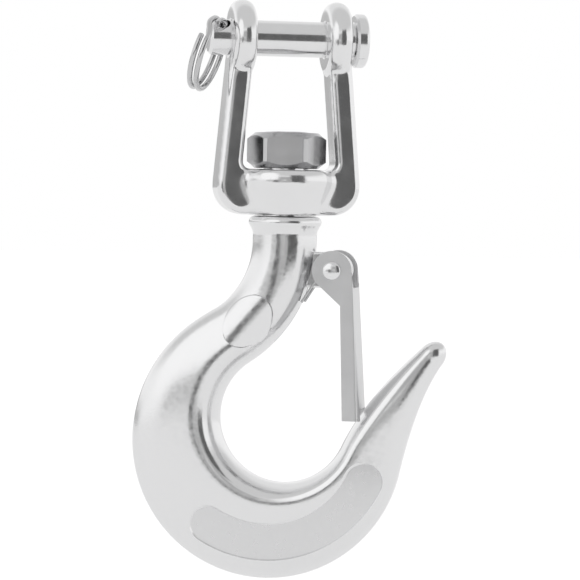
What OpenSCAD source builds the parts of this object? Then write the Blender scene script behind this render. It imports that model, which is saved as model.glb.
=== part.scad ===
// Jaw swivel hook with a sprung safety latch, in polished stainless steel.
// The origin is the middle of the load pin. +X runs along the pin towards its head,
// +Z runs up the swivel axis and the front is at -Y. All sizes are in millimetres and degrees.

/* [Jaw] */
// Clear width between the two ears
jaw_gap = 22.5; // [18:0.5:28]
// Thickness of an ear and of the arm below it
ear_t = 7.2; // [6:0.1:9]
// Radius of an ear about the load pin
ear_r = 11.8; // [9.5:0.1:15]
// Rounding of an ear's rim
ear_round = 3; // [1:0.1:3]
// Depth of the arms and the base, front to back
arm_depth = 13; // [10:0.5:17]
// Rounding along the edges of the arms and the base
arm_round = 1.9; // [0.5:0.1:2.5]
// Depth of the jaw floor below the load pin
jaw_floor = 40.3; // [33:0.1:55]
// Thickness of the base
base_t = 14.1; // [11:0.1:20]
// Radius of the base's lower corners
base_corner = 9; // [4:0.5:10]
// Fillet between the floor and each arm
floor_fillet = 2.5; // [1:0.1:4]
// Diameter of the round boss at the base's underside
boss_d = 22.8; // [19:0.1:30]
// Diameter of the round boss at its upper edge
boss_top_d = 30; // [22:0.5:32]
// Rounding of the boss's upper edge
boss_round = 3; // [1:0.1:4]

/* [Load pin] */
// Diameter of the load pin
pin_d = 11; // [9:0.1:14]
// Running clearance round the pin, on the radius
pin_clear = 0.08; // [0.02:0.01:0.1]
// Diameter of the pin's head
pin_head_d = 16.7; // [14:0.1:22]
// Thickness of the pin's head
pin_head_t = 3.8; // [2.5:0.1:5]
// End play left under the pin's head
pin_play = 1.9; // [0.5:0.1:3]
// Chamfer on the pin's tail
pin_chamfer = 0.9; // [0.3:0.1:1.5]
// Metal left between the cross hole and the pin's end
pin_end_wall = 1.6; // [1:0.1:3]
// Metal left between the cross hole and the ear's face
hole_to_ear = 0.5; // [0.3:0.1:2]
// How far the cross hole leans forward at its top
cross_hole_lean = 38; // [0:1:45]

/* [Split ring] */
// Mean radius of the ring
ring_r = 11; // [9:0.1:14]
// Thickness of the ring's wire
ring_wire = 1.7; // [1.2:0.1:2.1]
// Gap between the ring's two turns
ring_gap = 0.45; // [0.42:0.01:0.8]
// Clearance round the two turns in the cross hole
ring_clear = 0.2; // [0.1:0.05:0.5]
// Swing of the ring out from the ear
ring_swing = 30; // [30:1:90]
// Place of the wire ends round the ring, from the cross hole
ring_joint = 100; // [60:1:300]
// Stretch of the ring in which the wire steps from one turn to the other
ring_step = 34; // [30:1:60]

/* [Swivel] */
// Turn of the hook about the swivel axis
swivel_turn = -20; // [-180:1:180]
// Diameter of the swivel shank
shank_d = 14; // [11:0.1:17]
// Running clearance round the shank, on the radius
shank_clear = 0.08; // [0.02:0.01:0.1]
// Width of the nut across its flats
nut_af = 22; // [18:0.5:27]
// Width of the nut over its rounded corners
nut_corners = 24.5; // [20:0.1:30]
// Height of the nut
nut_h = 11; // [8:0.5:14]
// Height lost at the nut's corners to the chamfers on its faces
nut_chamfer = 1.15; // [0.5:0.05:2]
// Turn of the nut on the shank
nut_turn = 7; // [-30:1:30]
// Clearance of the nut on the shank, on the radius
nut_fit = 0.02; // [0.01:0.01:0.05]
// Clear space between the nut's corners and the arms
nut_room = 1.5; // [0.5:0.1:3]
// End play under the nut
nut_play = 0.3; // [0.1:0.05:1]
// Height of the upset shank end above the nut
peen_h = 0.3; // [0.1:0.1:2]
// Diameter of the collar under the jaw
collar_d = 22.5; // [20:0.5:28]
// Height of the collar
collar_h = 3.8; // [2.5:0.1:6]
// End play above the collar
collar_play = 0.3; // [0.1:0.05:1]

/* [Hook] */
// Diameter of the neck
neck_d = 19.8; // [16.5:0.1:23.8]
// Length of the straight neck below the collar
neck_len = 4.25; // [3:0.05:8]
// Inside radius of the bowl
bowl_r = 20.1; // [16.5:0.1:24.5]
// Height from the bowl's centre to the start of the neck's bend
bowl_drop = 54.45; // [50:0.05:66]
// Offset of the bowl's centre from the swivel axis, towards the tip
bowl_x = 0.8; // [-2:0.1:3]
// Depth of the hook below the bowl
belly_depth = 30; // [24:0.5:38]
// How far the belly's arc is centred behind the bowl
belly_back = 5.1; // [3:0.1:8]
// How far the belly's arc is centred below the bowl
belly_low = 7.7; // [5:0.1:10]
// Thickness of the hook at the bowl
bowl_t = 20; // [16:0.5:24]
// Depth of the rounded bearing edge inside the bowl
bearing_round = 6.3; // [4:0.1:9]
// Share of the thickness lost towards the outer edge
belly_taper = 0.3; // [0:0.05:0.5]
// Where the bowl's round ends and the tip begins, below the bowl's centre
bowl_end = 24.5; // [15:0.5:35]
// Reach of the tip past the bowl
tip_reach = 22.2; // [18:0.1:28]
// Rise of the tip above the bowl's centre
tip_rise = 22.5; // [18:0.1:28]
// Direction in which the tip points, above the horizontal
tip_dir = 50; // [45:1:60]
// How far the tip's two edges close on each other, each way
tip_flare = 7; // [3:1:10]
// Width of the tip where its rounded end begins
tip_w = 8.2; // [6:0.1:11]
// Thickness of the tip where its rounded end begins
tip_t = 8; // [5:0.5:11]
// Length of the tip's rounded end
tip_end = 5.7; // [3:0.1:8]
// Thickness where the tip begins, as a share of the bowl's
tip_root_share = 0.92; // [0.7:0.02:1]
// Edge rounding where the tip begins, as a share of the bowl's
tip_edge_share = 0.76; // [0.5:0.02:1]
// Length of the oval pad on the neck
pad_l = 18; // [14:0.5:22]
// Width of the oval pad on the neck
pad_w = 13; // [9:0.5:16]
// Height of the oval pad above the neck
pad_h = 0.5; // [0.2:0.1:1]
// Tilt of the oval pad's length above the horizontal
pad_tilt = 50; // [0:1:90]
// Where the oval pad sits, as a share of the neck's bend
pad_at = 0.77; // [0.5:0.01:0.95]

/* [Latch] */
// Distance from the neck's side to the latch's pivot
pivot_out = 6.1; // [5:0.1:8]
// Depth of the pivot below the start of the neck's bend
pivot_drop = 8.35; // [7:0.05:12]
// Diameter of the rivet
rivet_d = 4; // [3:0.1:5]
// Running clearance of the rivet in the lug, on the radius
rivet_clear = 0.08; // [0.02:0.01:0.1]
// Clearance of the rivet in the latch, on the radius
rivet_fit = 0.02; // [0.01:0.01:0.05]
// Diameter of the rivet's heads
rivet_head_d = 5.7; // [5:0.1:8]
// Height of the rivet's heads
rivet_head_h = 1.2; // [0.8:0.1:2]
// Thickness of the lug that carries the rivet
lug_t = 5; // [4:0.1:6]
// Radius of the lug's round end
lug_r = 5.5; // [4.5:0.1:5.8]
// Width of the latch over its two cheeks
latch_w = 15.6; // [13:0.1:19]
// Thickness of the latch's sheet
sheet_t = 1.2; // [1:0.1:1.5]
// Radius of the cheeks' round heads
cheek_r = 6.1; // [5.5:0.1:8]
// How far the web stands out past the cheeks' heads
web_out = 0.6; // [0.2:0.1:2]
// Depth below the pivot at which the web begins
web_drop = 5.2; // [4:0.1:9]
// Depth below the pivot at which the cheeks take their full taper
shoulder_drop = 10.7; // [8:0.1:15]
// Width of a cheek below its head
cheek_top_w = 4.3; // [3.5:0.1:6]
// Width of a cheek at its foot
cheek_foot_w = 5.5; // [4:0.1:8]
// Where the latch's foot meets the tip, as a share of the tip's inner edge
seat_at = 0.28; // [0.2:0.01:0.4]
// Clearance between the latch's foot and the tip
seat_gap = 0.35; // [0.2:0.05:0.6]
// Width of the legs that straddle the tip at the latch's foot
foot_leg = 1.9; // [1.5:0.1:2.5]

/* [Latch spring] */
// Thickness of the spring's wire
spring_wire = 0.8; // [0.6:0.05:0.9]
// Gap between the spring's turns
spring_gap = 0.45; // [0.42:0.01:0.5]
// Whole turns in each coil, before the part turn that brings its ends round
spring_turns = 2; // [1:1:2]
// Clearance between the coil and the rivet
coil_clear = 0.5; // [0.3:0.05:1]
// Where the spring's legs rest on the neck, round its bend
leg_at = 24; // [20:1:30]
// Depth below the pivot at which the spring's bridge presses on the latch
bridge_drop = 14; // [10:0.5:20]
// Corner radius of the spring's bridge
bridge_round = 1.2; // [0.8:0.1:2]
// Clearance between the spring and what it presses on
spring_seat = 0.3; // [0.1:0.05:0.5]

/* [Hidden] */
$fn = 96;
polished = [0.82, 0.82, 0.83];
satin = [0.72, 0.72, 0.73];
wire_grey = [0.76, 0.76, 0.77];
over = 1;

// Jaw: the arms lean out just far enough to let the nut's corners pass
pin_r = pin_d / 2;
nut_hex_r = nut_af / 2 / cos(30);
nut_rim_r = nut_corners / 2;
nut_bottom = nut_play - jaw_floor;
nut_top = nut_bottom + nut_h;
ear_x = (jaw_gap + ear_t) / 2;
ear_face = jaw_gap / 2 + ear_t;
arm_lean = atan((nut_rim_r + nut_room - jaw_gap / 2) / -nut_top);
base_bottom = -jaw_floor - base_t;
arm_foot = base_bottom + base_corner;
hole_chamfer = 0.4;
boss_below_floor = 0.2;
nut_land = 0.3;
bury = 0.3;
corner_steps = 8;
round_steps = 6;

// Load pin and ring: the cross hole takes both turns of the ring, which bows as it passes through
ring_pitch = ring_wire + ring_gap;
ring_bow = ring_r - sqrt(ring_r ^ 2 - pin_r ^ 2);
cross_hole_r = norm([ring_bow, ring_pitch]) / 2 + ring_wire / 2 + ring_clear;
cross_hole_x = -ear_face - cross_hole_r - hole_to_ear;
pin_tail_x = cross_hole_x - cross_hole_r - pin_end_wall;
pin_head_x = ear_face + pin_play;
pin_head_round = 1.3;
ring_offset = ring_r - ring_bow / 2;
ring_rings = 48;
wire_sides = 6;
wire_apart = 6;

// Hook plane: [x, z] points, with x towards the tip
shank_r = shank_d / 2;
neck_r = neck_d / 2;
collar_top = base_bottom - collar_play;
collar_bottom = collar_top - collar_h;
neck_z = collar_bottom - neck_len;
bowl = [bowl_x, neck_z - bowl_drop];
bowl_reach = neck_r + bowl_r;
bend_r = (bowl_drop ^ 2 + bowl_x ^ 2 - bowl_reach ^ 2) / (2 * (bowl_reach - bowl_x));
bend = [-bend_r, neck_z];
bend_angle = atan2(bowl_drop, bowl_x + bend_r);
belly = bowl - [belly_back, belly_low];
belly_r = bowl_r + belly_depth - belly_low;
back_z = neck_z - belly[1];
back_x = bend_r - (belly_r - belly[0]);
throat_r = bend_r - neck_r;
back_r = (back_z ^ 2 + back_x ^ 2 - throat_r ^ 2) / (2 * (throat_r - back_x));
back = [belly[0] - belly_r + back_r, belly[1]];
tip_in = bowl + [bowl_r + tip_reach, tip_rise];
tip_out = tip_in + tip_w * [sin(tip_dir), -cos(tip_dir)];
tip_root_in = bowl + bowl_r * heading(-bowl_end);
tip_root_out = bowl + belly_hit(-bowl_end) * heading(-bowl_end);
tip_turn_in = crossing(tip_root_in, 90 - bowl_end, tip_in, tip_dir - tip_flare);
tip_turn_out = crossing(tip_root_out, 90 + slope(tip_root_out - belly), tip_out, tip_dir + tip_flare);
tip_root_t = tip_root_share * bowl_t;
tip_root_round = tip_edge_share * bearing_round;
neck_rings = 11;
bowl_rings = 30;
horn_rings = 10;
end_stations = [0, 0.24, 0.48, 0.72, 0.86, 0.95];
edge_steps = 5;
flank_steps = 7;
section_points = 2 * (edge_steps + flank_steps);

// Latch: the foot straddles the tip as far as the tip's rounded edge leaves room for its legs
pivot = [neck_r + pivot_out, neck_z - pivot_drop];
seat = horn_in(seat_at);
seat_step = 0.02;
seat_slope = slope(horn_in(seat_at + seat_step) - horn_in(seat_at - seat_step));
leg_y = latch_w / 2 - foot_leg;
seat_half_t = half_thickness(2 + seat_at);
seat_round = edge_round(2 + seat_at, norm(horn_out(seat_at) - seat));
seat_room = seat_round * (1 - sqrt(1 - min(1, leg_y / seat_half_t) ^ 2));
foot_lap = (seat_room - seat_gap) / sin(seat_slope);
notch_h = foot_lap * tan(seat_slope) + seat_gap / cos(seat_slope);
web_top = pivot + [cheek_r + web_out, -web_drop];
web_foot = seat + [foot_lap, 0];
web_dir = (web_foot - web_top) / norm(web_foot - web_top);
web_in = [web_dir[1], -web_dir[0]];
shoulder = [web_x(pivot[1] - shoulder_drop) - cheek_top_w, pivot[1] - shoulder_drop];
cheek_turn = 228;
rivet_land = 0.2;

// Spring: a coil on each side of the lug, legs on the neck, a bridge on the latch's web
spring_pitch = spring_wire + spring_gap;
coil_rings = 8;
coil_r = rivet_d / 2 + coil_clear + spring_wire / 2;
bridge = [web_x(pivot[1] - bridge_drop) - sheet_t - spring_wire / 2 - spring_seat, pivot[1] - bridge_drop];
coil_end = slope(bridge - pivot) + acos(coil_r / norm(bridge - pivot));
leg_rest = bend_r + sqrt(neck_r ^ 2 - (lug_t / 2 + spring_wire) ^ 2) + spring_wire / 2 + spring_seat;
leg_foot = bend + leg_rest * heading(-leg_at);
coil_start = slope(leg_foot - pivot) - acos(coil_r / norm(leg_foot - pivot));
coil_sweep = 360 * spring_turns + ((coil_start - coil_end) % 360 + 360) % 360;
coil_steps = ceil(coil_sweep * coil_rings / 360);
coil_w = coil_sweep * spring_pitch / 360;
coil_y = (latch_w / 2 - sheet_t + lug_t / 2) / 2;
leg_y_in = coil_y - coil_w / 2;
leg_y_out = coil_y + coil_w / 2;

// Plane geometry
function heading(a) = [cos(a), sin(a)];
function slope(v) = atan2(v[1], v[0]);
function mix(a, b, t) = a + (b - a) * t;
function ease(t) = t * t * (3 - 2 * t);
function unit(v) = v / norm(v);
function in_plane(p, y) = [p[0], y, p[1]];

// Distance from p along direction d to the far side of a circle
function far_hit(p, d, centre, r) = let (m = p - centre, b = m * d) sqrt(b * b - m * m + r * r) - b;

// Point where two lines cross, each given by a point and an angle
function crossing(p, pa, q, qa) =
    let (d = heading(pa), e = heading(qa), w = q - p)
    p + d * (w[0] * e[1] - w[1] * e[0]) / (d[0] * e[1] - d[1] * e[0]);

function curve(a, b, c, t) = a * (1 - t) ^ 2 + b * 2 * t * (1 - t) + c * t ^ 2;
function arc(centre, r, from, to, steps) =
    [for (i = [0:steps]) centre + r * heading(mix(from, to, i / steps))];
function web_x(z) = web_top[0] + (z - web_top[1]) * web_dir[0] / web_dir[1];

// Outline of a rectangle with rounded corners, centred
function rounded_box(w, d, r) =
    [for (q = [0:3], p = arc(
        [(q == 0 || q == 3 ? 1 : -1) * (w / 2 - r), (q < 2 ? 1 : -1) * (d / 2 - r)],
        r, 90 * q, 90 * q + 90, round_steps)) p];

// The hook's inner and outer outlines, by station
function belly_hit(a) = far_hit(bowl, heading(a), belly, belly_r);
function back_hit(a) = far_hit(bowl, heading(a), back, back_r);
function bowl_angle(t) = mix(180 - bend_angle, 360 - bowl_end, t);
function behind(a) = cos(a) < 0 && bowl[1] + back_hit(a) * sin(a) > belly[1];
function bowl_out(a) = bowl + (behind(a) ? back_hit(a) : belly_hit(a)) * heading(a);
function horn_in(t) = curve(tip_root_in, tip_turn_in, tip_in, t);
function horn_out(t) = curve(tip_root_out, tip_turn_out, tip_out, t);

// The hook's section by stage: 0 to 1 along the neck, 1 to 2 round the bowl, 2 to 3 along the tip
function half_thickness(f) =
    f < 1 ? mix(neck_r, bowl_t / 2, ease(f)) :
    f < 2 ? mix(bowl_t, tip_root_t, ease(f - 1)) / 2 :
    mix(tip_root_t, tip_t, f - 2) / 2;
function edge_round(f, depth) =
    f < 1 ? mix(depth / 2, bearing_round, ease(f)) :
    f < 2 ? mix(bearing_round, tip_root_round, ease(f - 1)) :
    mix(tip_root_round, depth / 2, ease(f - 2));
function taper(f) = belly_taper * (f < 1 ? ease(f) : f < 2 ? 1 : 1 - ease(f - 2));
function squareness(f) = 2 + 2 * (f < 1 ? ease(f) : f < 2 ? 1 : 1 - ease(f - 2));

// Half a section as [depth, half thickness] points from the inner edge to the outer edge
function flank(depth, f) =
    let (h = half_thickness(f), r = edge_round(f, depth), k = 2 / squareness(f))
    [for (i = [0:edge_steps - 1]) let (a = 90 * i / edge_steps) [r * (1 - cos(a)), h * sin(a)],
     for (i = [0:flank_steps]) let (a = 90 * i / flank_steps, v = sin(a) ^ k)
         [mix(r, depth, v), h * (1 - taper(f) * v) * cos(a) ^ k]];

function section(inner, outer, f) =
    let (depth = norm(outer - inner), e = unit(outer - inner), half = flank(depth, f), last = len(half) - 1)
    [for (p = half) in_plane(inner + e * p[0], -p[1]),
     for (i = [last - 1:-1:1]) in_plane(inner + e * half[i][0], half[i][1])];

// The tip's rounded end: the last section shrinks as it moves out
function end_section(t) =
    let (half = tip_w / 2 * cos(90 * t), middle = (tip_in + tip_out) / 2, side = unit(tip_out - tip_in))
    let (centre = middle + tip_end * sin(90 * t) * heading(tip_dir), squeeze = cos(90 * t))
    [for (p = section(centre - half * side, centre + half * side, 3)) [p[0], p[1] * squeeze, p[2]]];

function hook_sections() = concat(
    [section([neck_r, collar_top - collar_h / 2], [-neck_r, collar_top - collar_h / 2], 0)],
    [for (i = [0:neck_rings - 1]) let (t = i / neck_rings, d = heading(-bend_angle * t))
        section(bend + (bend_r + neck_r) * d, bend + throat_r * d, t)],
    [for (i = [0:bowl_rings - 1]) let (t = i / bowl_rings, a = bowl_angle(t))
        section(bowl + bowl_r * heading(a), bowl_out(a), 1 + t)],
    [for (i = [0:horn_rings - 1]) let (t = i / horn_rings) section(horn_in(t), horn_out(t), 2 + t)],
    [for (t = end_stations) end_section(t)]);

// Triangles over a stack of rings, closed at both ends
function skin(rings, n) = concat(
    [for (r = [0:rings - 2], k = [0:n - 1]) let (a = r * n + k, b = r * n + (k + 1) % n) [a, b + n, b]],
    [for (r = [0:rings - 2], k = [0:n - 1]) let (a = r * n + k, b = r * n + (k + 1) % n) [a, a + n, b + n]],
    [for (k = [1:n - 2]) [0, k, k + 1]],
    [for (k = [1:n - 2]) let (a = (rings - 1) * n) [a, a + k + 1, a + k]]);

// Round wire along a path: each ring is square to the path and carried on from the one before
function along(path, i) = unit(path[min(i + 1, len(path) - 1)] - path[max(i - 1, 0)]);
function across(v, t) = unit(v - (v * t) * t);
function carried(path, start) =
    [for (i = 0, v = across(start, along(path, 0)); i < len(path);
          i = i + 1, v = across(v, along(path, min(i, len(path) - 1)))) v];
function wire_points(path, d, start) =
    let (sides = carried(path, start))
    [for (i = [0:len(path) - 1], k = [0:wire_sides - 1])
        let (a = 360 * k / wire_sides, t = along(path, i))
        path[i] + d / 2 * (cos(a) * sides[i] + sin(a) * cross(t, sides[i]))];

// Least gap of a wire to itself, measured between points at least this far apart along it
function least_gap(path, d, apart) =
    let (last = len(path) - 1)
    min([for (i = [0:last - apart], j = [i + apart:last]) norm(path[i] - path[j])]) - d;

// The ring's wire: one flat turn, a step across and a second flat turn
function ring_lift(t) = ring_pitch * (ease(min(1, max(0, (t - 360) / ring_step + 0.5))) - 0.5);
function ring_path() =
    let (hole = [0, -sin(cross_hole_lean), cos(cross_hole_lean)],
         level = [0, -cos(cross_hole_lean), -sin(cross_hole_lean)])
    let (out = cos(ring_swing) * level - sin(ring_swing) * [1, 0, 0], normal = cross(hole, out))
    [for (i = [0:ring_rings - 1])
        let (t = mix(ring_step / 2, 720 - ring_step / 2, i / (ring_rings - 1)), a = t + ring_joint)
        [cross_hole_x, 0, 0] + ring_offset * out + ring_r * (sin(a) * hole - cos(a) * out)
            + ring_lift(t) * normal];

// Half of the latch spring, from its leg on the neck to the middle of its bridge
function spring_half() =
    let (end = unit(bridge - pivot - coil_r * heading(coil_end)))
    concat(
        [in_plane(leg_foot, leg_y_in)],
        [for (i = [0:coil_steps]) let (t = i / coil_steps)
            in_plane(pivot + coil_r * heading(coil_start - coil_sweep * t), mix(leg_y_in, leg_y_out, t))],
        [for (i = [0:3]) let (a = 30 * i)
            in_plane(bridge - bridge_round * (1 - sin(a)) * end, leg_y_out - bridge_round * (1 - cos(a)))]);
function spring_path() =
    let (half = spring_half())
    concat(half, [for (i = [len(half) - 1:-1:0]) [half[i][0], -half[i][1], half[i][2]]]);

// Solids turned about X or Y, and plates cut in the hook's plane
module about_x() {
    rotate([0, 90, 0]) children();
}

module about_y() {
    rotate([90, 0, 0]) children();
}

module plate(w) {
    rotate([90, 0, 0]) linear_extrude(height = w, center = true) children();
}

module with_hook() {
    rotate([0, 0, swivel_turn]) children();
}

module wire(path, d, start) {
    polyhedron(wire_points(path, d, start), skin(len(path), wire_sides), convexity = 6);
}

module ear_disc() {
    rim = ear_r - ear_round;
    face = ear_t / 2 - ear_round;
    rotate_extrude() polygon(concat([[0, -ear_t / 2]], arc([rim, -face], ear_round, -90, 0, round_steps),
        arc([rim, face], ear_round, 0, 90, round_steps), [[0, ear_t / 2]]));
}

module arm() {
    reach = -arm_foot / cos(arm_lean);
    rotate([0, -arm_lean, 0]) translate([0, 0, -reach])
        linear_extrude(height = reach) polygon(rounded_box(ear_t, arm_depth, arm_round));
}

module base() {
    half = ear_x - arm_foot * tan(arm_lean) + ear_t / 2 / cos(arm_lean);
    top = half - (base_t - base_corner) * tan(arm_lean);
    corner = arc([half - base_corner, arm_foot], base_corner, 270, 360, corner_steps);
    intersection() {
        translate([-half, 0, -jaw_floor - base_t / 2]) about_x()
            linear_extrude(height = 2 * half) polygon(rounded_box(base_t, arm_depth, arm_round));
        plate(arm_depth + over) polygon(concat(
            [for (i = [corner_steps:-1:0]) [-corner[i][0], corner[i][1]]], corner,
            [[top, -jaw_floor], [-top, -jaw_floor]]));
        translate([0, 0, base_bottom - over]) linear_extrude(height = base_t + 2 * over)
            polygon(rounded_box(2 * half, arm_depth, arm_round));
    }
}

module floor_fillets() {
    foot = jaw_gap / 2 + jaw_floor * tan(arm_lean) + bury;
    fillet = arc([foot - floor_fillet, floor_fillet - jaw_floor], floor_fillet, 270, 360, round_steps);
    for (side = [-1, 1])
        plate(arm_depth - 2 * arm_round) polygon(concat([[side * (foot + over), -jaw_floor - over]],
            [for (p = fillet) [side * p[0], p[1]]], [[side * (foot + over), floor_fillet - jaw_floor]]));
}

module boss() {
    top = -jaw_floor - boss_below_floor;
    rim = [boss_top_d / 2 - boss_round, top - boss_round];
    draft = atan((boss_top_d - boss_d) / 2 / (rim[1] - base_bottom));
    rotate_extrude() polygon(concat([[0, base_bottom], [boss_d / 2, base_bottom]],
        arc(rim, boss_round, -draft, 90, round_steps), [[0, top]]));
}

module ear_hole() {
    bore_r = pin_r + pin_clear;
    about_x() {
        translate([0, 0, -ear_t]) cylinder(r = bore_r, h = 2 * ear_t);
        for (side = [0, 1]) mirror([0, 0, side]) translate([0, 0, ear_t / 2 - hole_chamfer])
            cylinder(r1 = bore_r, r2 = bore_r + 2 * hole_chamfer, h = 2 * hole_chamfer);
    }
}

module jaw() {
    color(polished) difference() {
        union() {
            for (side = [0, 1]) mirror([side, 0, 0]) translate([ear_x, 0, 0]) {
                about_x() ear_disc();
                arm();
            }
            base();
            floor_fillets();
            boss();
        }
        for (side = [-1, 1]) translate([side * ear_x, 0, 0]) ear_hole();
        translate([0, 0, base_bottom - over]) cylinder(r = shank_r + shank_clear, h = base_t + 2 * over);
    }
}

module clevis_pin() {
    head_r = pin_head_d / 2;
    head_top = pin_head_x + pin_head_t;
    color(polished) difference() {
        about_x() rotate_extrude() polygon(concat(
            [[0, pin_tail_x], [pin_r - pin_chamfer, pin_tail_x], [pin_r, pin_tail_x + pin_chamfer],
             [pin_r, pin_head_x], [head_r - pin_head_round / 2, pin_head_x],
             [head_r, pin_head_x + pin_head_round / 2]],
            arc([head_r - pin_head_round, head_top - pin_head_round], pin_head_round, 0, 90, round_steps),
            [[0, head_top]]));
        translate([cross_hole_x, 0, 0]) rotate([cross_hole_lean, 0, 0])
            cylinder(r = cross_hole_r, h = 2 * pin_d, center = true);
    }
}

module split_ring() {
    path = ring_path();
    echo("least gap of the ring's wire to itself, mm", least_gap(path, ring_wire, wire_apart));
    color(wire_grey) wire(path, ring_wire, [1, 0, 0]);
}

module swivel_nut() {
    face_r = nut_af / 2 - nut_land;
    color(satin) with_hook() difference() {
        intersection() {
            translate([0, 0, nut_bottom]) rotate([0, 0, nut_turn])
                cylinder(r = nut_hex_r, h = nut_h, $fn = 6);
            rotate_extrude() polygon([[0, nut_bottom], [face_r, nut_bottom],
                [nut_rim_r, nut_bottom + nut_chamfer], [nut_rim_r, nut_top - nut_chamfer],
                [face_r, nut_top], [0, nut_top]]);
        }
        translate([0, 0, nut_bottom - over]) cylinder(r = shank_r + nut_fit, h = nut_h + 2 * over);
    }
}

module shank_and_collar() {
    round_r = collar_h / 2;
    root = collar_bottom - 2 * over;
    rotate_extrude() polygon(concat(
        [[0, nut_top + peen_h], [shank_r - peen_h, nut_top + peen_h], [shank_r, nut_top],
         [shank_r, collar_top]],
        arc([collar_d / 2 - round_r, collar_top - round_r], round_r, 90, -60, corner_steps),
        [[neck_r - over, root], [0, root]]));
}

module lug() {
    plate(lug_t) polygon(concat([[0, pivot[1] + lug_r]], arc(pivot, lug_r, 90, -90, 2 * round_steps),
        [[0, pivot[1] - lug_r]]));
}

module oval_pad() {
    middle = bend + bend_r * heading(-pad_at * bend_angle);
    outline = [for (a = [0:10:350]) [pad_l / 2 * cos(a), pad_w / 2 * sin(a)]];
    height = half_thickness(pad_at) + pad_h;
    translate([middle[0], -height / 2, middle[1]]) rotate([0, -pad_tilt, 0]) plate(height) polygon(outline);
}

module hook() {
    sections = hook_sections();
    color(polished) with_hook() difference() {
        union() {
            shank_and_collar();
            polyhedron([for (s = sections, p = s) p], skin(len(sections), section_points), convexity = 6);
            lug();
            oval_pad();
        }
        translate([pivot[0], 0, pivot[1]]) about_y()
            cylinder(r = rivet_d / 2 + rivet_clear, h = 2 * lug_t, center = true);
    }
}

module cheek() {
    polygon(concat(arc(pivot, cheek_r, cheek_turn, 0, 2 * corner_steps),
        [web_top, web_foot, web_foot - [cheek_foot_w, 0], shoulder]));
}

module latch() {
    color(satin) with_hook() difference() {
        union() {
            for (side = [-1, 1]) translate([0, side * (latch_w - sheet_t) / 2, 0]) plate(sheet_t) cheek();
            plate(latch_w) polygon([web_top, web_foot, web_foot + sheet_t / web_in[0] * [1, 0],
                web_top + sheet_t * web_in]);
        }
        translate([pivot[0], 0, pivot[1]]) about_y()
            cylinder(r = rivet_d / 2 + rivet_fit, h = 2 * latch_w, center = true);
        translate([seat[0] - cheek_foot_w, -leg_y, web_foot[1] - over])
            cube([2 * cheek_foot_w, 2 * leg_y, notch_h + over]);
    }
}

module latch_rivet() {
    color(polished) with_hook() translate([pivot[0], 0, pivot[1]]) about_y() {
        cylinder(r = rivet_d / 2, h = latch_w + rivet_head_h, center = true);
        for (side = [0, 1]) mirror([0, 0, side]) translate([0, 0, latch_w / 2])
            rotate_extrude() polygon(concat([[0, 0]], [for (a = [0:15:90])
                [rivet_head_d / 2 * cos(a), rivet_land + (rivet_head_h - rivet_land) * sin(a)]]));
    }
}

module latch_spring() {
    path = spring_path();
    echo("least gap of the spring's wire to itself, mm", least_gap(path, spring_wire, wire_apart));
    color(wire_grey) with_hook() wire(path, spring_wire, [0, 1, 0]);
}

jaw();
clevis_pin();
split_ring();
swivel_nut();
hook();
latch();
latch_rivet();
latch_spring();
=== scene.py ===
# %% [markdown]
# # A jaw swivel hook in polished stainless steel
# The object hangs from a load pin in a forged jaw. A nut holds the hook's shank in the jaw's base, so that the
# hook can turn, and a sprung latch of folded sheet closes its mouth.
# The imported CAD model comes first, as a fixed frame. Every piece below is modelled again, finer, in the same place.

# %% Load the frame
import math

import bmesh
import bpy
from mathutils import Matrix, Vector
from mathutils.bvhtree import BVHTree


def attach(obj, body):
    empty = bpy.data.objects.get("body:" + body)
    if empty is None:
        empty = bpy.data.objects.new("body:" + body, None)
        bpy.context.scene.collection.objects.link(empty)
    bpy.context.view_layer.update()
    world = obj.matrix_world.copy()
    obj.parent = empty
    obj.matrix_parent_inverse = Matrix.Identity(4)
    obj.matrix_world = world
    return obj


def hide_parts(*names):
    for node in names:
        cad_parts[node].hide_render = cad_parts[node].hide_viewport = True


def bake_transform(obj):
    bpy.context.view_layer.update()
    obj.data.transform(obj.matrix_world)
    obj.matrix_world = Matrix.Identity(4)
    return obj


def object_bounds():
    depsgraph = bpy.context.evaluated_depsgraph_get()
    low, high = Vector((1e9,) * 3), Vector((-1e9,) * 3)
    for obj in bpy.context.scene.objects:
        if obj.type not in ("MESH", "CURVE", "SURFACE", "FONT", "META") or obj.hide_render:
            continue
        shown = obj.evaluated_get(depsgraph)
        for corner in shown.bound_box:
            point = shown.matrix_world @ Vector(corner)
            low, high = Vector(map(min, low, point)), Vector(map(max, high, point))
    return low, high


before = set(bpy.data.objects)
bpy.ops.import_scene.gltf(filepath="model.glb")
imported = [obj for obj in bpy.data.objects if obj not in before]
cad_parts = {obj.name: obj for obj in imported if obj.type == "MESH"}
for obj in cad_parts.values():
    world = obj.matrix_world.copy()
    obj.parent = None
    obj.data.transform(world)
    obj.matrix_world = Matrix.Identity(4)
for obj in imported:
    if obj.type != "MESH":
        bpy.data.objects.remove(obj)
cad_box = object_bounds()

scene = bpy.context.scene
scene.view_settings.view_transform = "Standard"

# %% [markdown]
# ## The camera
# The photo was taken from almost straight ahead: a little to the ring's side, a little from above, and not quite
# upright. A long lens at arm's length gives the same mild perspective. The aim and the span come from the load pin's
# place in the picture and from its size.

# %% Camera at the photo's angle
VIEW_AZIMUTH = math.radians(-11)
VIEW_HEIGHT = math.radians(2)
VIEW_ROLL = math.radians(1.18)
VIEW_DISTANCE = 0.9
VIEW_SPAN = 0.1798
VIEW_AIM = Vector((0.0019, -0.0004, -0.0776))
SENSOR = 36

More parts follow.
